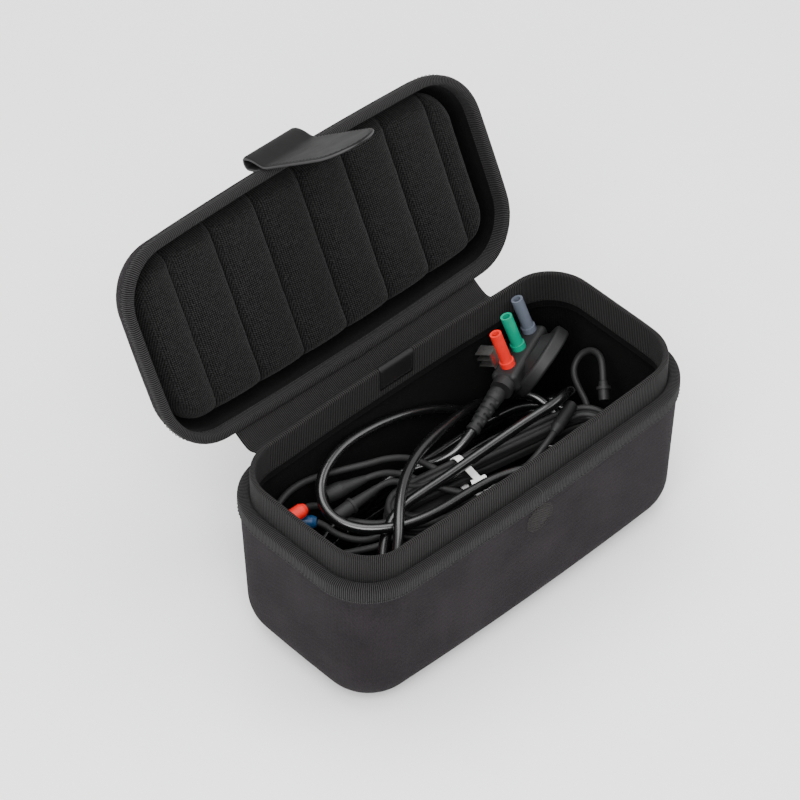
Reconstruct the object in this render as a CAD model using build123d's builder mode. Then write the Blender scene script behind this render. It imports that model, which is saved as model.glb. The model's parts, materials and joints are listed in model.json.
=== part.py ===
from build123d import *
from math import cos, pi, radians, sin, tan
import os

os.makedirs("parts", exist_ok=True)

# Semi-rigid carrying case with a set of measuring leads, lid standing open.
# Origin: centre of the case's flat bottom. +X along the case, -Y its front, +Z up. Millimetres.

# ---------------------------------------------------------------- driving dimensions
LENGTH = 300.0          # rim length, middle of the short ends
WIDTH = 146.0           # rim width, middle of the long sides
SIDE_BOW = 4.0          # how far each long side bows out between its corners
END_BOW = 1.5
CORNER_R = 40.0
RIM_Z = 118.0           # height of the base's bound rim
SLOPE = 0.038           # inward lean of the walls, mm for each mm away from the rim
BOTTOM_R = 30.0         # rounding along the bottom edge
TAPE = 1.0              # binding tape thickness
BASE_WALL = 6.0
BASE_FLOOR = 5.0
LINING = 1.0
TAPE_LEG = 12.5         # height of the base tape on the outside
COLLAR_INSET = 8.4      # collar outer face, in from the rim edge
COLLAR_TOP = 19.5       # collar height above the rim
COLLAR_FOOT = 10.0      # collar depth below the rim
COLLAR_SKIN = 0.8
COLLAR_BOARD = 2.0

LID_HEIGHT = 30.0
LID_SLOPE = 0.1
LID_EDGE_R = 20.0
LID_WALL = 3.6
LID_ROOF = 3.6
LID_SKIN = 0.8
LID_SEAT = 0.4          # clear gap between the two rims when shut
LID_TAPE_LEG = 9.0
PAD_INSET = 13.4
PAD_THICK = 12.0
LID_ANGLE = 115.9       # how far the lid stands open from shut
HINGE_Y = 83.2
HINGE_Z = 110.9
WEB_HALF = 105.0        # half width of the fabric hinge
WEB_THICK = 1.2

STRAP_W = 44.0
STRAP_LEN = 84.0        # tongue length below the lid's rim
LEATHER = 1.1
STRAP_TILT = 12.0       # the tongue springs this far away from the wall
MAGNET_R = 9.0
MAGNET_DROP = 24.4      # magnet centre below the base rim

CORD_D = 7.0            # sheathed mains cord
LEAD_D = 4.5            # single insulated test lead
SLEEVE_R = 4.0
SLEEVE_BORE = 2.5
SLEEVE_LEN = 27.0
SLEEVE_PITCH = 17.0
CONTACT_FOOT = 6.0      # the metal contact starts this far above the sleeve's foot
CONTACT_LEN = 15.0
CONTACT_BORE = 1.9
BLOCK_H = 14.0
NECK_R = 7.5
FLANGE_R = 26.0
FLANGE_THICK = 9.0
SOCKET_R = 19.5
SOCKET_DEEP = 7.0

COIL_X = 115.5          # half length and half width of the cord coil, at its centreline
COIL_Y = 41.5
COIL_WIDE = 9.0
COIL_LOW = 7.0
COIL_TOP = 60.5
HANK_LEN = 177.0        # bundle of leads tied at its middle
HANK_WIDE = 44.0
HANK_LOW = 61.0
HANK_HIGH = 19.0
HANK_ANGLE = 9.9
TIE_AT = -25.0
TIE_WIDE = 5.0


# ---------------------------------------------------------------- helpers
def draw_outline(sketch, inset):
    """Draw the case outline, `inset` inside the rim's outer edge, in an open sketch."""
    x = LENGTH / 2 - END_BOW
    y = WIDTH / 2 - SIDE_BOW
    with BuildLine() as line:
        ThreePointArc((-x, -y), (0, -y - SIDE_BOW), (x, -y))
        ThreePointArc((x, -y), (x + END_BOW, 0), (x, y))
        ThreePointArc((x, y), (0, y + SIDE_BOW), (-x, y))
        ThreePointArc((-x, y), (-x - END_BOW, 0), (-x, -y))
    make_face(line.edges())
    fillet(sketch.vertices(), radius=CORNER_R)
    if inset:
        offset(amount=-inset)


def case_form(rim, inset, near, far, radius=0.0, slope=SLOPE):
    """Block of the case outline between two heights off a rim plane, its far edge rounded."""
    with BuildPart() as form:
        with BuildSketch(rim.offset(near)) as near_outline:
            draw_outline(near_outline, inset + slope * abs(near))
        with BuildSketch(rim.offset(far)) as far_outline:
            draw_outline(far_outline, inset + slope * abs(far))
        loft(sections=[near_outline.sketch, far_outline.sketch], ruled=True)
        if radius:
            ends = form.faces().sort_by(Axis(rim.origin, rim.z_dir))
            fillet(ends[0 if far < near else -1].edges(), radius=radius)
    return form.part


def finish(name, shape):
    """Label one finished piece and write it."""
    shape.label = name
    export_step(shape, f"parts/{name}.step")


def bend_radii(points):
    """Arc radius at each corner of a cord route: as large as its two runs allow."""
    radii = []
    for before, here, after in zip(points, points[1:], points[2:]):
        run_in = Vector(here) - Vector(before)
        run_out = Vector(after) - Vector(here)
        half_turn = radians(run_in.get_angle(run_out)) / 2
        radii.append(0.45 * min(run_in.length, run_out.length) / tan(half_turn))
    return radii


def cord_tube(name, points, diameter):
    """Sweep one free stretch of cord along straight runs joined by tangent arcs."""
    radii = bend_radii(points)
    with BuildPart() as tube:
        with BuildLine() as path:
            FilletPolyline(*points, radius=radii)
        with BuildSketch(path.line ^ 0):
            Circle(diameter / 2)
        sweep()
    length = sum(edge.length for edge in path.edges())
    expected = pi * diameter**2 / 4 * length
    print(f"{name}: length {length:.0f}, volume ratio {tube.part.volume / expected:.3f},"
          f" radii {[round(r) for r in radii]}")
    finish(name, tube.part)


def aim(start, end):
    """Plane at `start` whose normal points towards `end`."""
    return Plane(origin=start, z_dir=(Vector(end) - Vector(start)).normalized())


def distance(start, end):
    return (Vector(end) - Vector(start)).length


# ---------------------------------------------------------------- base: shell, lining, tape, collar
base_rim = Plane.XY.offset(RIM_Z)
shell_outer = case_form(base_rim, TAPE, -TAPE, -RIM_Z, BOTTOM_R)
cavity = case_form(base_rim, TAPE + BASE_WALL, 0, BASE_FLOOR - RIM_Z, BOTTOM_R - 8.5)
lined_cavity = case_form(base_rim, TAPE + BASE_WALL + LINING, 0,
                         BASE_FLOOR + LINING - RIM_Z, BOTTOM_R - 9.5)
magnet_z = RIM_Z - MAGNET_DROP
front_y = -WIDTH / 2 + TAPE + SLOPE * MAGNET_DROP
front_face = Plane(origin=(0, front_y, magnet_z), x_dir=(1, 0, 0), z_dir=(0, -1, -SLOPE))

with BuildPart() as base_shell:
    add(shell_outer)
    add(cavity, mode=Mode.SUBTRACT)
    with BuildSketch(front_face.offset(-3.2)):
        Circle(MAGNET_R)
    extrude(amount=2.0, mode=Mode.SUBTRACT)
finish("base_shell", base_shell.part)

with BuildPart() as front_magnet:
    with BuildSketch(front_face.offset(-3.2)):
        Circle(MAGNET_R)
    extrude(amount=2.0)
finish("front_magnet", front_magnet.part)

with BuildPart() as magnet_patch:
    with BuildSketch(front_face.offset(-1.0)):
        Circle(MAGNET_R + 2.5)
    extrude(amount=1.6)
    add(shell_outer, mode=Mode.SUBTRACT)
finish("magnet_patch", magnet_patch.part)

with BuildPart() as base_lining:
    add(cavity)
    add(lined_cavity, mode=Mode.SUBTRACT)
    split(bisect_by=base_rim.offset(-7.0), keep=Keep.BOTTOM)
finish("base_lining", base_lining.part)

tape_outer = case_form(base_rim, 0, 0, -TAPE_LEG)
with BuildPart() as base_binding:
    add(tape_outer)
    add(base_shell.part, mode=Mode.SUBTRACT)
    add(cavity, mode=Mode.SUBTRACT)
finish("base_binding", base_binding.part)

collar_low = -COLLAR_FOOT
collar_block = case_form(base_rim, COLLAR_INSET, collar_low, COLLAR_TOP, slope=0)
board_inset = COLLAR_INSET + COLLAR_SKIN
board_block = case_form(base_rim, board_inset, collar_low, COLLAR_TOP - COLLAR_SKIN, slope=0)
board_core = case_form(base_rim, board_inset + COLLAR_BOARD, collar_low, COLLAR_TOP, slope=0)
COLLAR_INNER = board_inset + COLLAR_BOARD + COLLAR_SKIN
collar_core = case_form(base_rim, COLLAR_INNER, collar_low, COLLAR_TOP, slope=0)

with BuildPart() as collar_ring:
    add(collar_block)
    add(collar_core, mode=Mode.SUBTRACT)

with BuildPart() as collar_board:
    add(board_block)
    add(board_core, mode=Mode.SUBTRACT)
finish("collar_board", collar_board.part)

with BuildPart() as collar_cover:
    add(collar_ring.part)
    add(collar_board.part, mode=Mode.SUBTRACT)
finish("collar_cover", collar_cover.part)

# leatherette patch on the collar's inner face and top edge at the middle of the hinge side;
# it stops short of the outer corner, where the closed lid's lining comes close
PATCH_W = 29.0
PATCH_DROP = 18.0
PATCH_THICK = 0.9
PATCH_SETBACK = 0.8
collar_front_y = WIDTH / 2 - COLLAR_INNER
with BuildPart() as hinge_patch:
    with BuildSketch(Plane.YZ.offset(-PATCH_W / 2)):
        with Locations((collar_front_y - PATCH_THICK, RIM_Z + COLLAR_TOP + PATCH_THICK)):
            Rectangle(COLLAR_INNER - COLLAR_INSET + PATCH_THICK - PATCH_SETBACK, PATCH_DROP,
                      align=(Align.MIN, Align.MAX))
    extrude(amount=PATCH_W)
    add(collar_ring.part, mode=Mode.SUBTRACT)
finish("hinge_patch", hinge_patch.part)

# the fabric hinge is one strip; its base half runs from the rear binding to the fold
with BuildPart() as hinge_web_base:
    with BuildSketch(Plane.YZ.offset(-WEB_HALF)):
        with BuildLine():
            Polyline((70, 115.6), (82, 111.6), (82, 111.6 - WEB_THICK), (70, 115.6 - WEB_THICK),
                     close=True)
        make_face()
    extrude(amount=2 * WEB_HALF)
    add(tape_outer, mode=Mode.SUBTRACT)
finish("hinge_web_base", hinge_web_base.part)

# ---------------------------------------------------------------- lid, standing open
lid_turn = radians(LID_ANGLE)
rim_arm_y = -HINGE_Y
rim_arm_z = RIM_Z + LID_SEAT - HINGE_Z
lid_rim = Plane(origin=(0, HINGE_Y + rim_arm_y * cos(lid_turn) + rim_arm_z * sin(lid_turn),
                        HINGE_Z - rim_arm_y * sin(lid_turn) + rim_arm_z * cos(lid_turn)),
                x_dir=(1, 0, 0), z_dir=(0, sin(lid_turn), cos(lid_turn)))
# across the lid: first coordinate from front (-) to hinge (+), second away from the rim plane
lid_section = Plane(origin=lid_rim.origin, x_dir=lid_rim.y_dir, z_dir=lid_rim.x_dir)

lid_outer = case_form(lid_rim, TAPE, TAPE, LID_HEIGHT, LID_EDGE_R, slope=LID_SLOPE)
lid_cavity = case_form(lid_rim, TAPE + LID_WALL, 0, LID_HEIGHT - LID_ROOF, LID_EDGE_R - 8,
                       slope=LID_SLOPE)
lined_lid_cavity = case_form(lid_rim, TAPE + LID_WALL + LID_SKIN, 0,
                             LID_HEIGHT - LID_ROOF - LID_SKIN, LID_EDGE_R - 9, slope=LID_SLOPE)
lid_tape_outer = case_form(lid_rim, 0, 0, LID_TAPE_LEG, slope=LID_SLOPE)

with BuildPart() as lid_shell:
    add(lid_outer)
    add(lid_cavity, mode=Mode.SUBTRACT)
finish("lid_shell", lid_shell.part)

with BuildPart() as lid_binding:
    add(lid_tape_outer)
    add(lid_shell.part, mode=Mode.SUBTRACT)
    add(lined_lid_cavity, mode=Mode.SUBTRACT)
finish("lid_binding", lid_binding.part)

with BuildPart() as lid_lining:
    add(lid_cavity)
    add(lined_lid_cavity, mode=Mode.SUBTRACT)
    split(bisect_by=lid_rim.offset(LID_TAPE_LEG), keep=Keep.TOP)
finish("lid_lining", lid_lining.part)

pad_face = LID_HEIGHT - LID_ROOF - LID_SKIN - PAD_THICK
pad_block = case_form(lid_rim, PAD_INSET, LID_HEIGHT, pad_face, slope=0)
with BuildPart() as lid_pad:
    add(pad_block)
    pad_edges = lid_pad.faces().sort_by(Axis(lid_rim.origin, lid_rim.z_dir))[0].edges()
    chamfer(pad_edges, length=6.0)
    add(lined_lid_cavity, mode=Mode.INTERSECT)
finish("lid_pad", lid_pad.part)

with BuildPart() as hinge_web_lid:
    with BuildSketch(lid_section.offset(-WEB_HALF)):
        with BuildLine():
            Polyline((70, 4.6), (82.6, -4.0), (82.6, -4.0 - WEB_THICK), (70, 4.6 - WEB_THICK),
                     close=True)
        make_face()
    extrude(amount=2 * WEB_HALF)
    add(lid_tape_outer, mode=Mode.SUBTRACT)
finish("hinge_web_lid", hinge_web_lid.part)

# overlapped end of the lid's binding tape, at the middle of the hinge side
JOIN_W = 12.0
with BuildPart() as binding_join:
    with BuildSketch(lid_section.offset(-JOIN_W / 2)):
        with Locations((WIDTH / 2 - 6.1, -0.3)):
            Rectangle(6.2, 1.0, align=(Align.MIN, Align.MIN))
    extrude(amount=JOIN_W)
    add(lid_tape_outer, mode=Mode.SUBTRACT)
finish("binding_join", binding_join.part)

# ---------------------------------------------------------------- closing strap
# The strap is sewn to the lid's front wall, loops up and outward, and its tongue hangs
# past the rim.  The tongue bends about a line just outside the rim.
strap_line_y = -WIDTH / 2 - 1.9
with BuildPart() as strap_loop:
    with BuildSketch(lid_section.offset(-STRAP_W / 2)):
        with BuildLine():
            FilletPolyline((-72.9, 5.8), (-71.9, 13.0), (-71.9, 20.5), (-79.6, 20.5),
                           (-78.6, 12.0), (strap_line_y, 2.6), radius=[12, 3.4, 3.4, 8])
        trace(line_width=2 * LEATHER)
    extrude(amount=STRAP_W)
    add(lid_outer, mode=Mode.SUBTRACT)
    add(lid_tape_outer, mode=Mode.SUBTRACT)
finish("strap_loop", strap_loop.part)

tilt = radians(STRAP_TILT)
strap_out = lid_rim.y_dir * -cos(tilt) + lid_rim.z_dir * sin(tilt)
strap_plane = Plane(origin=lid_section.from_local_coords((strap_line_y, 0, 0)),
                    x_dir=(1, 0, 0), z_dir=strap_out)
plate_y = -MAGNET_DROP


def draw_tongue(sketch):
    """Tongue outline: square at the bend, rounded at its free end."""
    with Locations((0, -1.0)):
        Rectangle(STRAP_W, STRAP_LEN - 1.0, align=(Align.CENTER, Align.MAX))
    fillet(sketch.vertices().group_by(Axis.Y)[0], radius=0.48 * STRAP_W)


with BuildPart() as strap_plate:
    with BuildSketch(strap_plane.offset(-1.0)):
        with Locations((0, plate_y)):
            Circle(MAGNET_R)
    extrude(amount=1.0)
finish("strap_plate", strap_plate.part)

with BuildPart() as strap_outer:
    with BuildSketch(strap_plane) as tongue_face:
        draw_tongue(tongue_face)
    extrude(amount=LEATHER + 0.3)
finish("strap_outer", strap_outer.part)

with BuildPart() as strap_inner:
    with BuildSketch(strap_plane) as tongue_back:
        draw_tongue(tongue_back)
    extrude(amount=-LEATHER - 0.3)
    add(strap_plate.part, mode=Mode.SUBTRACT)
finish("strap_inner", strap_inner.part)

# ---------------------------------------------------------------- contents: socket with three sleeves
block_dir = Vector(0.93, 0.365, 0.04).normalized()
sleeve_dir = Vector(-0.17, 0.29, 0.94).normalized()
adapter = Plane(origin=(90.3, 40.4, 103.7), x_dir=block_dir, z_dir=sleeve_dir)
block_mid = adapter.from_local_coords((-27, 0, -BLOCK_H / 2))
neck_end = adapter.from_local_coords((-34, 0, -BLOCK_H / 2))

flange_plane = aim(adapter.from_local_coords((2, -8, -10)), adapter.from_local_coords((2, -15, -17.3)))

# one moulding: the block under the sleeves, its neck, and the shoulder in front of the flange
with BuildPart(adapter) as adapter_block:
    with Locations((-2, 0, -BLOCK_H / 2)):
        Box(52, 19, BLOCK_H)
    fillet(adapter_block.edges(), radius=3.5)
    with BuildSketch(aim(block_mid, neck_end)):
        Circle(NECK_R)
    extrude(amount=distance(block_mid, neck_end))
    with BuildSketch(flange_plane):
        Circle(20)
    with BuildSketch(flange_plane.offset(-5)):
        Circle(14)
    loft()
finish("adapter_block", adapter_block.part)

with BuildPart() as socket_flange:
    with BuildSketch(flange_plane):
        Circle(FLANGE_R)
    extrude(amount=FLANGE_THICK)
    fillet(socket_flange.edges(), radius=2.0)
    with BuildSketch(flange_plane.offset(FLANGE_THICK - SOCKET_DEEP)):
        Circle(SOCKET_R)
    extrude(amount=SOCKET_DEEP, mode=Mode.SUBTRACT)
    add(adapter_block.part, mode=Mode.SUBTRACT)
finish("socket_flange", socket_flange.part)

# the flange's far face is a round socket with two contact holes
with BuildPart() as socket_contacts:
    with BuildSketch(flange_plane.offset(FLANGE_THICK - SOCKET_DEEP)):
        with GridLocations(19, 0, 2, 1):
            Circle(3.2)
            Circle(2.4, mode=Mode.SUBTRACT)
    extrude(amount=1.0)
finish("socket_contacts", socket_contacts.part)


def sleeve(offset_x):
    """Insulating sleeve with a collar at its foot and a blind bore from its top."""
    base = Plane(origin=adapter.from_local_coords((offset_x, 0, 0)), x_dir=block_dir,
                 z_dir=sleeve_dir)
    with BuildPart(base) as body:
        Cylinder(SLEEVE_R, SLEEVE_LEN, align=(Align.CENTER, Align.CENTER, Align.MIN))
        Cylinder(SLEEVE_R + 0.9, 4.0, align=(Align.CENTER, Align.CENTER, Align.MIN))
        with Locations((0, 0, CONTACT_FOOT)):
            Cylinder(SLEEVE_BORE, SLEEVE_LEN, align=(Align.CENTER, Align.CENTER, Align.MIN),
                     mode=Mode.SUBTRACT)
    return body.part


for name, offset_x in (("sleeve_red", -SLEEVE_PITCH), ("sleeve_green", 0.0),
                       ("sleeve_grey", SLEEVE_PITCH)):
    finish(name, sleeve(offset_x))

with BuildPart(adapter) as sleeve_contacts:
    with Locations([(offset_x, 0, CONTACT_FOOT) for offset_x in (-SLEEVE_PITCH, 0, SLEEVE_PITCH)]):
        Cylinder(SLEEVE_BORE, CONTACT_LEN, align=(Align.CENTER, Align.CENTER, Align.MIN))
        Cylinder(CONTACT_BORE, CONTACT_LEN, align=(Align.CENTER, Align.CENTER, Align.MIN),
                 mode=Mode.SUBTRACT)
finish("sleeve_contacts", sleeve_contacts.part)

with BuildPart(adapter) as spring_clip:
    with Locations((-SLEEVE_PITCH, 8.0, 0)):
        Box(9, 0.8, 12, align=(Align.CENTER, Align.MAX, Align.MIN))
    with Locations([(-SLEEVE_PITCH, 7.6, height) for height in (1.6, 6.4, 11.2)]):
        Box(9, 11, 0.8, align=(Align.CENTER, Align.MIN, Align.MIN))
finish("spring_clip", spring_clip.part)

# ---------------------------------------------------------------- contents: mains cord
BOOT_END = (30, 21, 82)
with BuildPart() as mains_cord_boot:
    with BuildSketch(aim(neck_end + (block_mid - neck_end) * 0.4, BOOT_END)):
        Circle(6.5)
    with BuildSketch(aim(BOOT_END, Vector(BOOT_END) * 2 - neck_end)):
        Circle(4.3)
    loft()
    add(adapter_block.part, mode=Mode.SUBTRACT)
finish("mains_cord_boot", mains_cord_boot.part)

with BuildPart() as mains_cord_coil:
    with BuildSketch(Plane.XY.offset(COIL_LOW)):
        SlotOverall(2 * (COIL_X + COIL_WIDE / 2), 2 * (COIL_Y + COIL_WIDE / 2))
        SlotOverall(2 * (COIL_X - COIL_WIDE / 2), 2 * (COIL_Y - COIL_WIDE / 2), mode=Mode.SUBTRACT)
    extrude(amount=COIL_TOP - COIL_LOW)
    fillet(mains_cord_coil.edges().filter_by(GeomType.CIRCLE), radius=3.5)
finish("mains_cord_coil", mains_cord_coil.part)

# each free stretch ends inside the coil
exit_route = [BOOT_END, (21, 19.5, 77.9), (12, 21, 73.5), (2, 27, 68), (-9, 35, 64.5),
              (-22, 40.5, 62), (-36, 41.5, 58.5)]
long_route = [(66, 41.5, 59), (54, 48, 64), (40, 54, 72), (22, 57, 81), (0, 57.5, 90),
              (-28, 57, 98), (-58, 54, 102), (-82, 45, 98), (-95, 27, 92), (-90, 5, 88),
              (-68, -13, 87.5), (-42, -20, 87.5), (-14, -21, 87.5), (12, -24, 87.5),
              (36, -34, 86), (55, -43, 80), (72, -48, 69), (87, -46, 60),
              (99, -35, 56.5)]
arch_route = [(-114, -6, 59), (-111, -20, 63), (-103, -31, 69), (-91, -34, 80), (-79, -26, 90),
              (-67, -13, 96.5), (-53, 0, 99.5), (-37, 11, 99.5), (-19, 20, 97), (0, 27, 92.5),
              (20, 33, 87), (40, 38, 81), (60, 42, 74), (79, 42, 68),
              (95, 32, 64.5), (99, 16, 59), (94, 1, 52.5), (80, -8, 46.5), (62, -12, 42), (41, -11, 39),
              (20, -8, 37), (-0.8, -5, 36)]
upper_route = [(-102, -32, 58.5), (-95, -24, 64.5), (-86, -14.5, 72.5), (-73, -6.5, 79.8), (-57, -1, 87.5),
               (-38, -2, 89), (-15, -3, 90), (10, -3.5, 91.5), (35, -4.5, 93.5), (58, -6, 95.5),
               (75, -8, 97), (88, -5, 95), (98, 1, 87),
               (106, 7, 77), (112, 12, 67), (113, 21, 58.5)]
cord_tube("mains_cord_exit", exit_route, CORD_D)
cord_tube("mains_cord_long_loop", long_route, CORD_D)
cord_tube("mains_cord_arch", arch_route, CORD_D)
cord_tube("mains_cord_upper", upper_route, CORD_D)

# moulded housing at the cord's other end, standing on the lining under the lead hank
with BuildPart() as cord_end_housing:
    with BuildSketch(Plane.XY.offset(BASE_FLOOR + LINING)):
        with Locations((-30, 0.3)):
            RectangleRounded(60, 28, 7, rotation=-HANK_ANGLE)
    extrude(amount=HANK_LOW - BASE_FLOOR - LINING)
    fillet(cord_end_housing.faces().sort_by(Axis.Z)[-1].edges(), radius=3)
finish("cord_end_housing", cord_end_housing.part)

# ---------------------------------------------------------------- contents: test leads
hank_plane = Plane(origin=(27, -9.6, HANK_LOW),
                   x_dir=(cos(radians(HANK_ANGLE)), -sin(radians(HANK_ANGLE)), 0), z_dir=(0, 0, 1))
with BuildPart() as lead_hank:
    with BuildSketch(hank_plane):
        SlotOverall(HANK_LEN, HANK_WIDE)
    extrude(amount=HANK_HIGH)
    fillet(lead_hank.faces().filter_by(Axis.Z).edges(), radius=7)
finish("lead_hank", lead_hank.part)

# white wire tie round the middle of the hank, with two twisted-off tails
with BuildPart() as hank_tie:
    with BuildSketch(Plane(origin=hank_plane.from_local_coords((TIE_AT, 0, HANK_HIGH / 2)),
                           x_dir=hank_plane.y_dir, z_dir=hank_plane.x_dir)):
        RectangleRounded(HANK_WIDE + 1.6, HANK_HIGH + 1.6, 7.8)
        RectangleRounded(HANK_WIDE, HANK_HIGH, 7, mode=Mode.SUBTRACT)
    extrude(amount=TIE_WIDE)
    for tail_x, tail_turn in ((TIE_AT - 1, 118), (TIE_AT + 6, 96)):
        with BuildSketch(Plane(origin=hank_plane.from_local_coords((tail_x, -8, HANK_HIGH)),
                               x_dir=(cos(radians(tail_turn)), -sin(radians(tail_turn)), 0.34),
                               z_dir=(0, 0, 1))):
            with Locations((6.5, 0)):
                Rectangle(19, 4.6)
        extrude(amount=0.8)
    add(lead_hank.part, mode=Mode.SUBTRACT)
finish("hank_tie", hank_tie.part)


def stepped_plug(name, start, end, steps):
    """Turned body along start-end; steps are (distance from start, radius) in order."""
    plane = aim(start, end)
    section = Plane(origin=start, x_dir=plane.z_dir, z_dir=plane.x_dir)
    corners = [(steps[0][0], 0)] + list(steps) + [(steps[-1][0], 0)]
    with BuildPart() as plug:
        with BuildSketch(section):
            with BuildLine():
                Polyline(*corners, close=True)
            make_face()
        revolve(axis=Axis(start, plane.z_dir))
    finish(name, plug.part)


stepped_plug("red_plug", (-99, 39.5, 88), (-116, 39.5, 88),
             [(0, 3.4), (3, 4.8), (16.2, 4.8), (17, 4.2)])
stepped_plug("blue_plug", (-103.5, 40.5, 78.2), (-95.5, 32.5, 78.2),
             [(0, 3.6), (0.9, 4.4), (8.6, 4.4), (11.3, 3.2)])
stepped_plug("black_plug_rear", (-79, 44, 81), (-50, 36, 83),
             [(0, 3.2), (1.5, 5.6), (12, 5.4), (19, 4.0), (24, 3.4), (30.1, 2.5)])
stepped_plug("black_plug_front", (-85, 27, 79), (-50, 25.5, 82),
             [(0, 3.6), (1, 4.6), (13, 4.8), (13, 5.4), (15, 5.4), (15, 4.0), (35.1, 2.5)])
stepped_plug("black_plug_right", (110.5, -19, 84.5), (117, -11, 92),
             [(0, 3.6), (7, 3.8), (7, 4.8), (9, 4.8), (9, 3.4), (12.7, 2.8)])
stepped_plug("test_probe", (93, -7, 84.4), (65, -18, 84.4),
             [(0, 2.6), (1.6, 4.2), (24, 4.2), (30.1, 2.6)])

red_route = [(-99, 39.5, 88), (-93, 39.5, 87), (-84, 37, 79.5), (-79, 33, 72.5), (-72, 22, 69.5),
             (-63, 12, 68.5), (-54, 7, 69)]
loop_route = [(-2, 10, 70), (-7, 21, 76), (-16, 31, 82.5), (-30, 37.5, 86.5), (-43, 41, 88),
              (-57, 47, 88.5), (-73, 53, 89.5), (-88, 56.5, 90), (-102, 56, 89), (-116, 51, 87),
              (-125.5, 41, 82), (-124, 28, 73), (-116, 20, 66), (-106, 16.5, 63.5),
              (-96, 12, 64.5), (-85, 4, 66.5), (-74, -3, 68), (-62, -5, 69), (-54, -4, 70)]
blue_route = [(-95.5, 32.5, 78.2), (-92, 28.5, 76), (-90, 22, 72), (-85, 13, 70), (-79, 6.5, 69.5),
              (-72, 3, 69), (-64, 2, 69), (-56, 3, 69)]
rear_route = [(-50, 36, 83), (-43, 34, 83.5), (-33, 30.5, 81), (-23, 23, 76), (-16, 13, 70)]
front_route = [(-50, 25.5, 82), (-42, 25, 82.7), (-34, 21, 80.5), (-29.5, 13.5, 75.5),
               (-28, 5, 70)]
right_route = [(102, -14, 71), (109, -5, 73), (112.5, 7, 76.5), (117, 17, 82), (124.5, 18.5, 90),
               (129.5, 13, 95.5), (128.5, 4, 98), (123, -4.5, 97), (117, -11, 92)]
probe_route = [(65, -18, 84.4), (58, -20.5, 84.4), (48, -22, 81), (38, -20, 73)]
cord_tube("lead_red", red_route, LEAD_D)
cord_tube("lead_loop", loop_route, LEAD_D)
cord_tube("lead_blue", blue_route, LEAD_D)
cord_tube("lead_black_rear", rear_route, LEAD_D)
cord_tube("lead_black_front", front_route, LEAD_D)
cord_tube("lead_right", right_route, LEAD_D)
cord_tube("lead_probe", probe_route, LEAD_D)
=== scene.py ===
import json
import math

import bmesh
import bpy
import numpy as np
from mathutils import Matrix, Vector, noise


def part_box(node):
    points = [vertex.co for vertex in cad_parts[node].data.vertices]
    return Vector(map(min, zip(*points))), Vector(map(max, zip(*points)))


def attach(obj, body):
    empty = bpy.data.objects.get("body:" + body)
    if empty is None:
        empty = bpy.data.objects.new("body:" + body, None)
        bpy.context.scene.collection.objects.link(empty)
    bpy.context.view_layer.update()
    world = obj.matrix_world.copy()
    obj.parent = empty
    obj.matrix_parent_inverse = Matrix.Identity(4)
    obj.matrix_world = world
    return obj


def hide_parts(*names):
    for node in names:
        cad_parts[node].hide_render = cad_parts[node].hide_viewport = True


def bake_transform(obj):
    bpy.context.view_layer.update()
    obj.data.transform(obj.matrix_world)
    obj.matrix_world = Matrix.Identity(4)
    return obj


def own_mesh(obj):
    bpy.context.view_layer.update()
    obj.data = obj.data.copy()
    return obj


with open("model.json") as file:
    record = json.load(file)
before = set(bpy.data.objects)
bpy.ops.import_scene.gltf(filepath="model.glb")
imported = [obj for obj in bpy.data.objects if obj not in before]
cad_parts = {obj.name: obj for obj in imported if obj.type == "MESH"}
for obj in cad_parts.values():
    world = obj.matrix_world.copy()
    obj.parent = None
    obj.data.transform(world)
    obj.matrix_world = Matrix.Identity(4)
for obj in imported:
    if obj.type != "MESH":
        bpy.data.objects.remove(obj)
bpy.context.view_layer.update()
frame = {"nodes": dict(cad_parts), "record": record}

MM = 0.001
NODES = frame["nodes"]
JOINTS = {j["name"]: j for j in frame["record"]["behaviour"]["joints"]}

# ---------------------------------------------------------------- the case's own measures, in mm
RIM_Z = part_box("base_binding")[1][2] / MM
LID_SEAT = 0.4
LID_TURN = math.radians(JOINTS["lid_hinge"]["range_deg"][1])
HINGE = Vector(JOINTS["lid_hinge"]["pos_m"])
# lid coordinates (x, y to the hinge, z to the roof, rim plane at z 0) to the open lid's place
LID = (Matrix.Translation(HINGE) @ Matrix.Rotation(-LID_TURN, 4, "X") @ Matrix.Translation(-HINGE)
       @ Matrix.Translation((0, 0, (RIM_Z + LID_SEAT) * MM)))


# ---------------------------------------------------------------- materials
PLANE_MIX = 6.0      # how sharply a weave changes from one main plane to the next
TEXTILE_SPEC = 0.06  # specular level shared by the cloths and tapes


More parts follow.
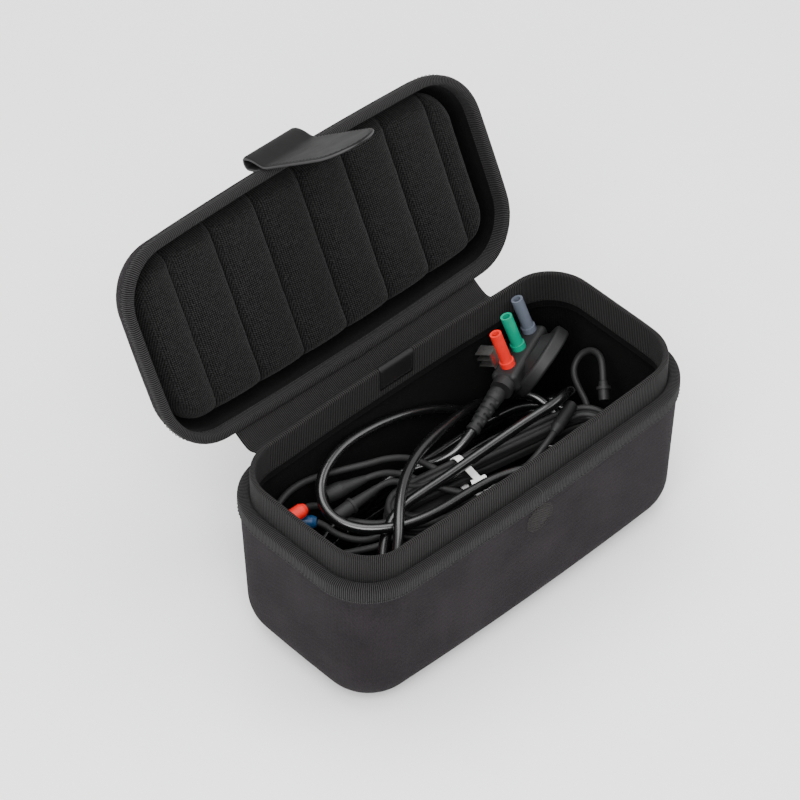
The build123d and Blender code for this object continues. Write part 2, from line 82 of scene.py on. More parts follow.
class Maker:
    """A node tree with short names for what the materials here need."""

    def __init__(self, name, color, rough, sheen=0.0, spec=0.5, metal=0.0, coat=0.0):
        self.mat = bpy.data.materials.new(name)
        self.mat.use_nodes = True
        self.tree = self.mat.node_tree
        self.bsdf = self.tree.nodes["Principled BSDF"]
        self.set("Roughness", rough)
        self.set("Sheen Weight", sheen)
        self.set("Sheen Roughness", 0.45)
        self.set("Specular IOR Level", spec)
        self.set("Metallic", metal)
        self.set("Coat Weight", coat)
        self.set("Coat Roughness", 0.12)
        self.bsdf.inputs["Base Color"].default_value = (*color, 1)
        self.color = color
        self.coord = self.node("ShaderNodeTexCoord")
        self.bumps = []

    def set(self, socket, value):
        self.bsdf.inputs[socket].default_value = value

    def node(self, kind, **inputs):
        n = self.tree.nodes.new(kind)
        for key, value in inputs.items():
            n.inputs[key.replace("_", " ")].default_value = value
        return n

    def link(self, a, b):
        self.tree.links.new(a, b)

    def math(self, op, a, b=None, clamp=False):
        n = self.node("ShaderNodeMath")
        n.operation = op
        n.use_clamp = clamp
        for i, v in enumerate((a, b)):
            if v is None:
                continue
            if isinstance(v, (int, float)):
                n.inputs[i].default_value = v
            else:
                self.link(v, n.inputs[i])
        return n.outputs[0]

    def axes(self, space="UV"):
        sep = self.node("ShaderNodeSeparateXYZ")
        self.link(self.coord.outputs[space], sep.inputs[0])
        return sep.outputs

    def sine(self, value, pitch_mm):
        """0..1 wave with one period each pitch, along a coordinate in metres."""
        turned = self.math("MULTIPLY", value, 2 * math.pi / (pitch_mm * MM))
        wave = self.math("SINE", turned)
        return self.math("ADD", self.math("MULTIPLY", wave, 0.5), 0.5)

    def on_faces(self, pattern):
        """A pattern of two lengths laid on the three main planes, mixed by the way a face looks."""
        x, y, z = self.axes("Object")
        turned = [self.math("POWER", self.math("ABSOLUTE", n), PLANE_MIX)
                  for n in self.axes("Normal")]
        whole = self.math("ADD", self.math("ADD", turned[0], turned[1]), turned[2])
        laid = [self.math("MULTIPLY", share, pattern(*pair))
                for share, pair in zip(turned, ((y, z), (x, z), (x, y)))]
        summed = self.math("ADD", self.math("ADD", laid[0], laid[1]), laid[2])
        return self.math("DIVIDE", summed, whole)

    def noise(self, size_mm, detail=3.0, rough=0.55):
        n = self.node("ShaderNodeTexNoise", Scale=1 / (size_mm * MM), Detail=detail,
                      Roughness=rough)
        self.link(self.coord.outputs["Object"], n.inputs["Vector"])
        return n.outputs["Fac"]

    def bump(self, height, distance_mm, strength=1.0):
        n = self.node("ShaderNodeBump", Strength=strength, Distance=distance_mm * MM)
        self.link(height, n.inputs["Height"])
        if self.bumps:
            self.link(self.bumps[-1].outputs[0], n.inputs["Normal"])
        self.bumps.append(n)
        self.link(n.outputs[0], self.bsdf.inputs["Normal"])

    def tint(self, fac, low, high, gain=1.0):
        """Base colour between low and high times the colour; gain steepens fac about its middle."""
        ramp = self.node("ShaderNodeMix")
        ramp.data_type = "RGBA"
        about_middle = self.math("MULTIPLY", self.math("SUBTRACT", fac, 0.5), gain)
        steep = self.math("ADD", about_middle, 0.5, True)
        self.link(steep, ramp.inputs["Factor"])
        ramp.inputs["A"].default_value = (*[c * low for c in self.color], 1)
        ramp.inputs["B"].default_value = (*[min(1, c * high) for c in self.color], 1)
        self.link(ramp.outputs["Result"], self.bsdf.inputs["Base Color"])

    def roughen(self, fac, low, high):
        span = self.node("ShaderNodeMapRange")
        span.inputs["To Min"].default_value = low
        span.inputs["To Max"].default_value = high
        self.link(fac, span.inputs["Value"])
        self.link(span.outputs[0], self.bsdf.inputs["Roughness"])


def woven(name, color, pitch=1.25, sheen=0.02, rough=0.9, depth=0.34, contrast=(0.0, 2.3)):
    """Fine weave on the diagonal of each face, its threads passing over and under."""
    m = Maker(name, color, rough, sheen, spec=TEXTILE_SPEC)

    def crossing(a, b):
        u, v = m.math("ADD", a, b), m.math("SUBTRACT", a, b)
        over = m.sine(a, pitch * 2)
        return m.math("ADD", m.math("MULTIPLY", m.sine(u, pitch), over),
                      m.math("MULTIPLY", m.sine(v, pitch), m.math("SUBTRACT", 1.0, over)))

    cross = m.on_faces(crossing)
    fuzz = m.noise(1.0, 3.0)
    cloud = m.noise(38, 2.0)
    shade = m.math("ADD", m.math("MULTIPLY", cross, 0.5), m.math("MULTIPLY", fuzz, 0.5))
    clouded = m.math("ADD", shade, m.math("MULTIPLY", cloud, 0.3))
    m.tint(m.math("MULTIPLY", clouded, 0.8), *contrast, gain=2.6)
    m.roughen(fuzz, rough - 0.08, min(1, rough + 0.1))
    m.bump(m.math("ADD", cross, m.math("MULTIPLY", fuzz, 0.6)), depth)
    return m.mat


def ribbed(name, color, pitch, depth, sheen=0.03, contrast=(0.0, 2.6), rough=0.8):
    """Ribs across a tape, stacked along its UV length u, with a fine twill between them."""
    m = Maker(name, color, rough, sheen, spec=TEXTILE_SPEC)
    along, other, _ = m.axes()
    rib = m.sine(along, pitch)
    twill = m.sine(m.math("ADD", other, m.math("MULTIPLY", along, 0.7)), 0.62)
    fuzz = m.noise(0.9, 3.0)
    shade = m.math("ADD", m.math("MULTIPLY", rib, 0.55),
                   m.math("ADD", m.math("MULTIPLY", twill, 0.1), m.math("MULTIPLY", fuzz, 0.35)))
    m.tint(shade, *contrast, gain=2.6)
    fine = m.math("ADD", m.math("MULTIPLY", twill, 0.25), m.math("MULTIPLY", fuzz, 0.35))
    m.bump(m.math("ADD", rib, fine), depth)
    return m.mat


def knit(name, color, sheen, pitch=0.9, depth=0.16, contrast=(0.1, 2.0)):
    """Brushed knit: small loops with a lot of fuzz."""
    m = Maker(name, color, 0.95, sheen, spec=TEXTILE_SPEC)
    loops = m.on_faces(lambda a, b: m.math("MULTIPLY", m.sine(a, pitch), m.sine(b, pitch * 0.8)))
    fuzz = m.noise(1.2, 4.0, rough=0.65)
    shade = m.math("ADD", m.math("MULTIPLY", loops, 0.4), m.math("MULTIPLY", fuzz, 0.7))
    m.tint(shade, *contrast, gain=2.8)
    m.bump(m.math("ADD", loops, fuzz), depth)
    return m.mat


def leather(name, color, rough):
    """Leatherette: small pebbled cells, with cloudy wear in tone and gloss."""
    m = Maker(name, color, rough, 0.0, spec=0.22)
    cells = m.node("ShaderNodeTexVoronoi", Scale=1 / (0.9 * MM))
    m.link(m.coord.outputs["Object"], cells.inputs["Vector"])
    grain = m.math("ADD", cells.outputs["Distance"], m.math("MULTIPLY", m.noise(0.5, 4.0), 0.6))
    cloud = m.noise(14, 3.0)
    shade = m.math("ADD", m.math("MULTIPLY", cloud, 0.7), m.math("MULTIPLY", grain, 0.25))
    m.tint(shade, 0.72, 1.35)
    m.roughen(cloud, rough - 0.1, rough + 0.14)
    m.bump(grain, 0.05, 0.8)
    return m.mat


def moulded(name, color, rough=0.5, grain=0.35, depth=0.03, spec=0.32, coat=0.0):
    """Moulded plastic or rubber with a fine spark-eroded grain and handling marks."""
    m = Maker(name, color, rough, 0.0, spec=spec, coat=coat)
    fine = m.noise(grain, 3.0)
    marks = m.noise(9, 4.0)
    m.tint(m.math("ADD", m.math("MULTIPLY", marks, 0.8), m.math("MULTIPLY", fine, 0.2)), 0.82, 1.2)
    m.roughen(marks, max(0.05, rough - 0.1), min(1, rough + 0.12))
    m.bump(m.math("ADD", fine, m.math("MULTIPLY", marks, 0.8)), depth)
    return m.mat


def metal(name, color=(0.72, 0.71, 0.69), rough=0.28):
    """Plated metal with small handling marks."""
    m = Maker(name, color, rough, metal=1.0)
    marks = m.noise(1.2, 4.0)
    m.tint(marks, 0.8, 1.15)
    m.roughen(marks, rough - 0.08, rough + 0.16)
    m.bump(marks, 0.01)
    return m.mat


def plain(name, color, rough=0.9):
    """Nearly even matt surface."""
    m = Maker(name, color, rough)
    m.tint(m.noise(60, 2.0), 0.985, 1.01)
    return m.mat


FABRIC = woven("case_weave", (0.0125, 0.0105, 0.0120))
TAPE = ribbed("grosgrain", (0.0130, 0.0124, 0.0127), pitch=1.35, depth=0.35)
COLLAR = ribbed("collar_rib", (0.0110, 0.0105, 0.0104), pitch=1.5, depth=0.3)
WEB = ribbed("hinge_rib", (0.0105, 0.0100, 0.0101), pitch=1.3, depth=0.2)
LINING = knit("lining_knit", (0.0022, 0.0022, 0.0022), sheen=0.02)
PAD = knit("pad_knit", (0.0105, 0.0102, 0.0101), pitch=1.5, sheen=0.05, depth=0.3)
LEATHER = leather("strap_leather", (0.0030, 0.0029, 0.0029), 0.68)
PATCH = leather("patch_leather", (0.0070, 0.0066, 0.0068), 0.48)
THREAD = moulded("thread", (0.0040, 0.0040, 0.0040), 0.8, 0.25, 0.05)
CORD = moulded("cord_pvc", (0.0035, 0.0035, 0.0038), 0.24, 0.9, 0.02, spec=0.5, coat=0.3)
LEAD = moulded("lead_silicone", (0.0120, 0.0120, 0.0120), 0.55, 0.6, 0.02)
BOOT = moulded("boot_rubber", (0.0100, 0.0100, 0.0105), 0.6, 0.35, 0.05)
BODY = moulded("adapter_plastic", (0.0100, 0.0100, 0.0104), 0.52, 0.4, 0.05)
PLUG = moulded("plug_plastic", (0.0100, 0.0100, 0.0104), 0.55, 0.35, 0.04)
RED = moulded("red_plastic", (0.66, 0.012, 0.008), 0.45, 0.35, 0.02)
GREEN = moulded("green_plastic", (0.0, 0.235, 0.135), 0.45, 0.35, 0.02)
GREY = moulded("grey_plastic", (0.085, 0.098, 0.125), 0.45, 0.35, 0.02)
BLUE = moulded("blue_plastic", (0.002, 0.035, 0.105), 0.42, 0.35, 0.02)
METAL = metal("plated_metal")
WHITE = moulded("tie_film", (0.74, 0.74, 0.73), 0.4, 0.8, 0.05)
FLOOR = plain("floor", (0.97, 0.97, 0.97))
BOARD = moulded("board", (0.06, 0.06, 0.06), 0.7)
EDGE = moulded("cut_leather_edge", (0.030, 0.029, 0.030), 0.7, 0.4, 0.04)
CLOSURE = woven("closure_weave", (0.0185, 0.0165, 0.0165), pitch=1.6)


# ---------------------------------------------------------------- mesh helpers
def place(obj, material, body, replaced=()):
    """Give a new piece its material and body, and hide the CAD nodes that it stands for."""
    obj.data.materials.append(material)
    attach(obj, body)
    if replaced:
        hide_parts(*replaced)
    return obj


def mesh_object(name, verts, faces, uvs=None, matrix=None):
    """Mesh in metres from points in mm, with per-vertex UV lengths in metres."""
    data = bpy.data.meshes.new(name)
    points = [Vector(v) * MM for v in verts]
    if matrix is not None:
        points = [matrix @ p for p in points]
    data.from_pydata(points, [], faces)
    if uvs is not None:
        layer = data.uv_layers.new(name="UVMap")
        for loop in data.loops:
            u, v = uvs[loop.vertex_index]
            layer.data[loop.index].uv = (u * MM, v * MM)
    for poly in data.polygons:
        poly.use_smooth = True
    bm = bmesh.new()
    bm.from_mesh(data)
    bmesh.ops.recalc_face_normals(bm, faces=bm.faces)
    bm.to_mesh(data)
    bm.free()
    obj = bpy.data.objects.new(name, data)
    bpy.context.scene.collection.objects.link(obj)
    return obj


def rounded(points, rounds=2):
    """Cut the corners of an open polyline (Chaikin), keeping its two ends."""
    for _ in range(rounds):
        cut = [points[0]]
        for a, b in zip(points, points[1:]):
            cut.append(tuple(0.75 * p + 0.25 * q for p, q in zip(a, b)))
            cut.append(tuple(0.25 * p + 0.75 * q for p, q in zip(a, b)))
        points = cut + [points[-1]]
    return points


def lengths_along(points):
    """Length from a polyline's start to each of its points."""
    marks = [0.0]
    for a, b in zip(points, points[1:]):
        marks.append(marks[-1] + math.dist(a, b))
    return marks


SIDE_CENTRE = Vector((0, 2685.5))      # centre and radius of the bowed long side at -Y
SIDE_R = 2758.5
END_CENTRE = Vector((-1437.75, 0))     # and of the bowed short side at +X
END_R = 1587.75
CORNER_R = 40.0                        # the rounded corner between them


def corner_centre():
    """Centre of the rounded corner at +X, -Y, inside both bowed sides."""
    c = Vector((108.5, -29.5))
    for _ in range(30):
        for centre, radius in ((SIDE_CENTRE, SIDE_R), (END_CENTRE, END_R)):
            c = centre + (c - centre).normalized() * (radius - CORNER_R)
    return c


CORNER = corner_centre()


def stations(side=26, corner=14, end=9):
    """The rim's outline once round from the middle of -Y: (point, outward normal, length)."""
    to_side = math.atan2(*(CORNER - SIDE_CENTRE).yx)
    to_end = math.atan2(*(CORNER - END_CENTRE).yx)
    quarter = []
    for i in range(side):
        a = -math.pi / 2 + (to_side + math.pi / 2) * i / side
        quarter.append((SIDE_CENTRE, SIDE_R, a))
    for i in range(corner):
        quarter.append((CORNER, CORNER_R, to_side + (to_end - to_side) * i / corner))
    for i in range(end + 1):
        quarter.append((END_CENTRE, END_R, to_end * (1 - i / end)))
    line = []
    for centre, radius, a in quarter:
        n = Vector((math.cos(a), math.sin(a)))
        line.append((centre + n * radius, n))
    half = line + [(Vector((p.x, -p.y)), Vector((n.x, -n.y))) for p, n in reversed(line[:-1])]
    whole = half + [(Vector((-p.x, p.y)), Vector((-n.x, n.y))) for p, n in reversed(half[1:-1])]
    out, s = [], 0.0
    for i, (p, n) in enumerate(whole):
        if i:
            s += (p - whole[i - 1][0]).length
        out.append((p, n, s))
    return out


RIM = stations()
RIM_LENGTH = RIM[-1][2] + (RIM[0][0] - RIM[-1][0]).length


def ring(name, profile, matrix=None, low=0.0, within=None, waver=0.0, seed=0.0):
    """Sweep a profile of (inset, height) round the rim; within tests which points to keep."""
    profile = rounded(profile)
    lengths = lengths_along(profile)
    if within is None:
        rows = RIM + [(RIM[0][0], RIM[0][1], RIM_LENGTH)]
    else:
        rows = [row for row in RIM if within(row[0])]
    count = len(profile)
    verts, uvs, faces = [], [], []
    for p, n, s in rows:
        sway = waver * noise.noise(Vector((p.x * 0.03, p.y * 0.03, seed)))
        for (inset, height), v in zip(profile, lengths):
            q = p - n * (inset + sway)
            verts.append((q.x, q.y, low + height + sway * 0.4))
            uvs.append((s, v))
    for i in range(len(verts) // count - 1):
        for j in range(count - 1):
            a = i * count + j
            faces.append((a, a + 1, a + count + 1, a + count))
    return mesh_object(name, verts, faces, uvs, matrix=matrix)


def stitches(name, rows, radius, matrix=None):
    """Thread dashes: each row is (start, end, normal), a small arched capsule off the surface."""
    steps, sides = 5, 6
    verts, faces = [], []
    for start, end, up in rows:
        start, end, up = Vector(start), Vector(end), Vector(up).normalized()
        along = end - start
        side = along.cross(up).normalized()
        base = len(verts)
        for i in range(steps):
            t = i / (steps - 1)
            lift = math.sin(math.pi * t) * 0.35 - 0.12
            r = radius * (0.55 + 0.45 * math.sin(math.pi * t))
            c = start + along * t + up * lift
            for k in range(sides):
                a = 2 * math.pi * k / sides
                verts.append(tuple(c + side * math.cos(a) * r + up * math.sin(a) * r))
        for i in range(steps - 1):
            for k in range(sides):
                a, b = base + i * sides + k, base + i * sides + (k + 1) % sides
                faces.append((a, b, b + sides, a + sides))
        faces.append(tuple(base + k for k in range(sides)))
        faces.append(tuple(base + (steps - 1) * sides + k for k in reversed(range(sides))))
    return mesh_object(name, verts, faces, None, matrix=matrix)


def dashes(points, normals, stitch, gap):
    """Even stitches along a polyline with a surface normal at each of its points."""
    rows, s = [], 0.0
    marks = lengths_along(points)

    def at(length):
        i = max(k for k in range(len(marks) - 1) if marks[k] <= length)
        t = (length - marks[i]) / (marks[i + 1] - marks[i])
        return (Vector(points[i]).lerp(Vector(points[i + 1]), t),
                Vector(normals[i]).lerp(Vector(normals[i + 1]), t))

    while s + stitch < marks[-1]:
        (a, up), (b, _) = at(s), at(s + stitch)
        rows.append((a, b, up))
        s += stitch + gap
    return rows


RIBBON_ACROSS = 17                        # points from edge to edge of a ribbon's face
RIBBON_SECTION = 2 * RIBBON_ACROSS - 2     # and round its section, edges at 0 and half way


def ribbon(name, path, half_width, thick, matrix=None, rounds=2, tip=0.0, dome=None):
    """Leather or web strip: a path of (y, z), as wide as 2 half widths in x, with rounded edges.
    tip rounds the far end to a half circle; dome = (length, radius, height) lifts a disc in it."""
    path = rounded(path, rounds)
    marks = lengths_along(path)
    total = marks[-1]
    wanted = list(np.linspace(0, total, max(12, int(total / 1.6))))
    if tip:
        wanted = [w for w in wanted if w < total - tip]
        wanted += [total - tip * (1 - math.sin(a)) for a in np.linspace(0, math.pi / 2 * 0.985, 22)]
    ys, zs = [p[0] for p in path], [p[1] for p in path]

    def at(w):
        return np.interp(w, marks, ys), np.interp(w, marks, zs)

    rows = []
    for w in wanted:
        y, z = at(w)
        y0, z0 = at(max(0, w - 0.8))
        y1, z1 = at(min(total, w + 0.8))
        d = Vector((y1 - y0, z1 - z0)).normalized()
        wide = half_width
        if tip and w > total - tip:
            wide = math.sqrt(max(0.3, tip**2 - (w - total + tip)**2))
        rows.append((w, y, z, Vector((-d.y, d.x)), wide))
    across = [math.sin(t) for t in np.linspace(-math.pi / 2, math.pi / 2, RIBBON_ACROSS)]
    section = [(a, 1) for a in across] + [(a, -1) for a in reversed(across[1:-1])]
    verts, uvs, faces = [], [], []
    for w, y, z, n, wide in rows:
        for a, up in section:
            x = a * wide
            edge = min(1.0, (wide - abs(x)) / (0.7 * thick))
            half = thick / 2 * math.sqrt(max(0.0, 1 - (1 - edge)**2)) if abs(a) < 1 else 0.0
            near_end = min(1.0, (total - w + 0.05) / (0.7 * thick)) if tip else 1.0
            half *= math.sqrt(max(0.02, 1 - (1 - near_end)**2))
            if dome:
                r = math.hypot(x, w - dome[0])
                if up > 0:
                    half += dome[2] * 0.5 * (1 + math.tanh((dome[1] - r) / 0.9))
            verts.append((x, y + n.x * half * up, z + n.y * half * up))
            uvs.append((x, w))
    count = len(section)
    for i in range(len(rows) - 1):
        for j in range(count):
            a, b = i * count + j, i * count + (j + 1) % count
            faces.append((a, b, b + count, a + count))
    faces.append(tuple(range(count)))
    faces.append(tuple((len(rows) - 1) * count + j for j in reversed(range(count))))
    return mesh_object(name, verts, faces, uvs, matrix=matrix), rows


# ---------------------------------------------------------------- camera, light and floor
AZIMUTH, ELEVATION = math.radians(-43.12), math.radians(44.72)
LOOKED_AT = Vector((-0.05366, 0, 0.18209))
CAMERA_FAR = 2.5316
LAMP_AIM = Vector((0, 0, 0.12))
LAMPS = (("key", (-1.3, -1.0, 1.9), 1.6, 78),       # name, place, size in m, power in W
         ("fill", (1.7, -1.4, 1.3), 1.8, 26),
         ("top", (0.1, 0.5, 2.4), 1.8, 46))


def scenery():
    camera = bpy.data.objects.new("camera", bpy.data.cameras.new("camera"))
    bpy.context.scene.collection.objects.link(camera)
    back = Vector((math.sin(AZIMUTH) * math.cos(ELEVATION),
                   -math.cos(AZIMUTH) * math.cos(ELEVATION), math.sin(ELEVATION)))
    camera.location = LOOKED_AT + back * CAMERA_FAR
    camera.rotation_mode = "QUATERNION"
    camera.rotation_quaternion = (-back).to_track_quat("-Z", "Y")
    camera.data.lens = 184.9
    camera.data.sensor_width = 36
    camera.data.clip_end = 50
    bpy.context.scene.camera = camera

    bpy.ops.mesh.primitive_plane_add(size=8)
    floor = bpy.context.object
    floor.name = "floor"
    floor.data.materials.append(FLOOR)

    world = bpy.data.worlds.new("studio")
    world.use_nodes = True
    background = world.node_tree.nodes["Background"]
    background.inputs["Color"].default_value = (1, 1, 1, 1)
    background.inputs["Strength"].default_value = 1.12
    bpy.context.scene.world = world

    for name, at, size, power in LAMPS:
        lamp = bpy.data.objects.new(name, bpy.data.lights.new(name, "AREA"))
        bpy.context.scene.collection.objects.link(lamp)
        lamp.data.energy = power
        lamp.data.size = size
        lamp.location = at
        lamp.rotation_mode = "QUATERNION"
        lamp.rotation_quaternion = (LAMP_AIM - Vector(at)).to_track_quat("-Z", "Y")


scenery()


# ---------------------------------------------------------------- cords
def cord_curve(name, points, diameter, material, replaced):
    """Cord as one NURBS spline through the route's control points, given in mm."""
    data = bpy.data.curves.new(name, "CURVE")
    data.dimensions = "3D"
    spline = data.splines.new("NURBS")
    spline.points.add(len(points) - 1)
    for point, p in zip(spline.points, points):
        point.co = (p[0] * MM, p[1] * MM, p[2] * MM, 1)
    spline.order_u = 3
    spline.use_endpoint_u = True
    spline.resolution_u = 6
    data.bevel_depth = diameter * MM / 2
    data.bevel_resolution = 5
    data.use_fill_caps = True
    obj = bpy.data.objects.new(name, data)
    bpy.context.scene.collection.objects.link(obj)
    data.materials.append(material)
    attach(obj, "base")
    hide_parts(*replaced)
    return obj


def oval(half_straight, radius, s):
    """Point at length s round an oval, from the start of its +Y run, anticlockwise."""
    straight, bend = 2 * half_straight, math.pi * radius
    s %= 2 * (straight + bend)
    if s < straight:
        return half_straight - s, radius
    s -= straight
    if s < bend:
        a = math.pi / 2 + s / radius
        return -half_straight + radius * math.cos(a), radius * math.sin(a)
    s -= bend
    if s < straight:
        return -half_straight + s, -radius
    a = -math.pi / 2 + (s - straight) / radius
    return half_straight + radius * math.cos(a), radius * math.sin(a)


def turns(half_straight, radius, start, end, count, low, high, outside, per_turn=16, ease=60.0,
          vary=0.0, seed=0.0, where=None):
    """Control points of cord wound anticlockwise from length start to end, plus count whole turns,
    rising from low to high; each end of it comes from the height outside."""
    once = 4 * half_straight + 2 * math.pi * radius
    length = (end - start) % once + count * once
    steps = max(4, round(length / once * per_turn))
    made = []
    for i in range(1, steps):
        s = length * i / steps
        x, y = oval(half_straight, radius, start + s)
        wander = vary * noise.noise(Vector((s * 0.004, seed, 0.0)))
        x += math.copysign(wander, x) if abs(x) > half_straight else 0.0
        z = low + (high - low) * s / length + 0.25 * wander
        for gone in (s, length - s):
            if gone < ease:
                t = gone / ease
                z = outside + (z - outside) * t * t * (3 - 2 * t)
        made.append(where(x, y, z) if where else (x, y, z))
    return made


EXIT_ROUTE = [(30, 21, 82), (21, 19.5, 77.9), (12, 21, 73.5), (2, 27, 68), (-9, 35, 64.5),
              (-22, 40.5, 62), (-36, 41.5, 58.5)]
LONG_ROUTE = [(66, 41.5, 59), (54, 48, 64), (40, 54, 72), (22, 57, 81), (0, 57.5, 90),
              (-28, 57, 98), (-58, 54, 102), (-82, 45, 98), (-95, 27, 92), (-90, 5, 88),
              (-68, -13, 87.5),
              (-42, -20, 87.5), (-14, -21, 87.5), (12, -24, 87.5), (36, -34, 86), (55, -43, 80),
              (72, -48, 69), (87, -46, 60), (99, -35, 56.5)]
UPPER_ROUTE = [(-112, -24, 56.5), (-105, -34, 58.5), (-95, -31, 63), (-87, -19, 70),
               (-73, -6.5, 79.8), (-57, -1, 87.5), (-38, -2, 89), (-15, -3, 90), (10, -3.5, 91.5),
               (35, -4.5, 93.5),
               (58, -6, 95.5), (75, -8, 97), (88, -5, 95), (98, 1, 87), (106, 7, 77), (112, 12, 67),
               (113, 21, 58.5)]
ARCH_ROUTE = [(-114, -6, 59), (-111, -20, 63), (-103, -31, 69), (-91, -34, 80), (-79, -26, 90),
              (-67, -13, 96.5), (-53, 0, 99.5), (-37, 11, 99.5), (-19, 20, 97), (0, 27, 92.5),
              (20, 33, 87), (40, 38, 81), (60, 42, 74), (79, 42, 68), (95, 32, 64.5), (99, 16, 59),
              (94, 1, 52.5), (80, -8, 46.5), (62, -12, 42), (41, -11, 39), (20, -8, 37),
              (-0.8, -5, 36)]
COIL = dict(half_straight=74.0, radius=41.5)
CORD_D = 7.0
LEAD_D = 4.5

mains_points = (
    EXIT_ROUTE
    + turns(**COIL, start=110.0, end=8.0, count=1, low=11.5, high=21.0, outside=58.5)
    + LONG_ROUTE
    + turns(**COIL, start=452.0, end=222.0, count=1, low=30.0, high=38.0, outside=57.5)
    + UPPER_ROUTE
    + turns(**COIL, start=512.0, end=219.0, count=2, low=44.0, high=56.0, outside=58.5)
    + ARCH_ROUTE)
mains_cord = cord_curve("mains_cord", mains_points, CORD_D, CORD,
                        ["mains_cord_coil", "mains_cord_exit", "mains_cord_long_loop",
                         "mains_cord_upper", "mains_cord_arch"])

HANK_AT = (27.0, -9.6)        # middle of the tied bundle, and how it is turned about the vertical
HANK_TURN = math.radians(-9.9)
HANK_HALF = 66.5              # half of its straight run


def in_hank(x, y, z):
    """From the bundle's own coordinates to the case's."""
    return (HANK_AT[0] + x * math.cos(HANK_TURN) - y * math.sin(HANK_TURN),
            HANK_AT[1] + x * math.sin(HANK_TURN) + y * math.cos(HANK_TURN), z)


def hank(radius, start, end, count, low, high, outside=70.0, seed=0.0):
    """Turns of one lead in the tied bundle, which differ a little in length."""
    return turns(HANK_HALF, radius, start, end, count, low, high, outside, ease=26.0, vary=5.0,
                 seed=seed, per_turn=28 if radius < 12 else 20, where=in_hank)


RED_ROUTE = [(-99, 39.5, 88), (-93, 39.5, 87), (-84, 37, 79.5), (-79, 33, 72.5), (-72, 22, 69.5),
             (-63, 12, 68.5), (-54, 7, 69)]
LOOP_ROUTE = [(-2, 10, 70), (-7, 21, 76), (-16, 31, 82.5), (-30, 37.5, 86.5), (-43, 41, 88),
              (-57, 47, 88.5), (-73, 53, 89.5), (-88, 56.5, 90), (-102, 56, 89), (-116, 51, 87),
              (-125.5, 41, 82), (-124, 28, 73), (-116, 20, 66), (-106, 16.5, 63.5), (-96, 12, 64.5),
              (-85, 4, 66.5), (-74, -3, 68), (-62, -5, 69), (-54, -4, 70)]
BLUE_ROUTE = [(-95.5, 32.5, 78.2), (-92, 28.5, 76), (-90, 22, 72), (-85, 13, 70), (-79, 6.5, 69.5),
              (-72, 3, 69), (-64, 2, 69), (-56, 3, 69)]
REAR_ROUTE = [(-50, 36, 83), (-43, 34, 83.5), (-33, 30.5, 81), (-23, 23, 76), (-16, 13, 70)]
FRONT_ROUTE = [(-50, 25.5, 82), (-42, 25, 82.7), (-34, 21, 80.5), (-29.5, 13.5, 75.5), (-28, 5, 70)]
RIGHT_ROUTE = [(102, -14, 71), (109, -5, 73), (112.5, 7, 76.5), (117, 17, 82), (124.5, 18.5, 90),
               (129.5, 13, 95.5), (128.5, 4, 98), (123, -4.5, 97), (117, -11, 92)]
PROBE_ROUTE = [(65, -18, 84.4), (58, -20.5, 84.4), (48, -22, 81), (38, -20, 73)]

# radius of the bends of each lead's turns
OUTER, MIDDLE, INNER = 19.3, 14.6, 9.9


def low_run(radius, x):
    """Length round a turn to the place x on its -Y run."""
    return 3 * HANK_HALF + math.pi * radius + x


def right_end(radius, share):
    """Length round a turn to a share of its +X bend."""
    return 4 * HANK_HALF + math.pi * radius * (1 + share)


red_lead = cord_curve(
    "red_lead",
    RED_ROUTE + hank(OUTER, low_run(OUTER, -58), right_end(OUTER, 0.45), 4, 63.6, 77.0, seed=1.0)
    + RIGHT_ROUTE, LEAD_D, LEAD, ["lead_hank", "lead_red", "lead_right"])
blue_lead = cord_curve(
    "blue_lead",
    BLUE_ROUTE + hank(MIDDLE, low_run(MIDDLE, -58), low_run(MIDDLE, 8), 4, 63.6, 76.0, seed=4.0)
    + PROBE_ROUTE[::-1], LEAD_D, LEAD, ["lead_blue", "lead_probe"])
black_lead = cord_curve(
    "black_lead",
    REAR_ROUTE + hank(INNER, low_run(INNER, -34), 98.0, 2, 63.6, 68.0, seed=7.0)
    + LOOP_ROUTE + hank(INNER, low_run(INNER, -62), 104.0, 2, 72.0, 77.0, seed=9.0)
    + FRONT_ROUTE[-2::-1], LEAD_D, LEAD,
    ["lead_black_rear", "lead_loop", "lead_black_front"])


BOOT_WIDE, BOOT_SLIM = 6.5, 4.3       # radius at the adapter, and where the cord leaves it
BOOT_SLOT_DEEP = 1.15


def strain_relief():
    """Tapered rubber boot with the slots of a strain relief, ending in a small lip."""
    start, end = Vector((72.5, 31.0, 96.3)), Vector((30, 21, 82))
    along = (end - start).normalized()
    side = along.cross(Vector((0, 0, 1))).normalized()
    up = side.cross(along)
    length = (end - start).length
    steps, around = 150, 48
    verts, faces, uvs = [], [], []
    for i in range(steps + 1):
        w = length * i / steps
        radius = BOOT_WIDE + (BOOT_SLIM - BOOT_WIDE) * w / length
        slot_at = (w - 20.0) / 3.9
        index = math.floor(slot_at)
        inside = 0 <= index < 6 and 0.2 < slot_at - index < 0.62
        lip = (0.55 * math.exp(-((w - length + 0.9) / 0.9)**2)
               + 0.35 * math.exp(-((w - 17.0) / 1.3)**2))
        for k in range(around):
            a = 2 * math.pi * k / around
            open_side = abs(math.cos(a)) if index % 2 else abs(math.sin(a))
            r = radius + lip - (BOOT_SLOT_DEEP if inside and open_side > 0.42 else 0.0)
            p = start + along * w + (side * math.cos(a) + up * math.sin(a)) * r
            verts.append(tuple(p))
            uvs.append((a * radius, w))
    for i in range(steps):
        for k in range(around):
            a, b = i * around + k, i * around + (k + 1) % around
            faces.append((a, b, b + around, a + around))
    faces.append(tuple(range(around)))
    faces.append(tuple(steps * around + k for k in reversed(range(around))))
    return mesh_object("cord_strain_relief", verts, faces, uvs)


place(strain_relief(), BOOT, "base", ["mains_cord_boot"])


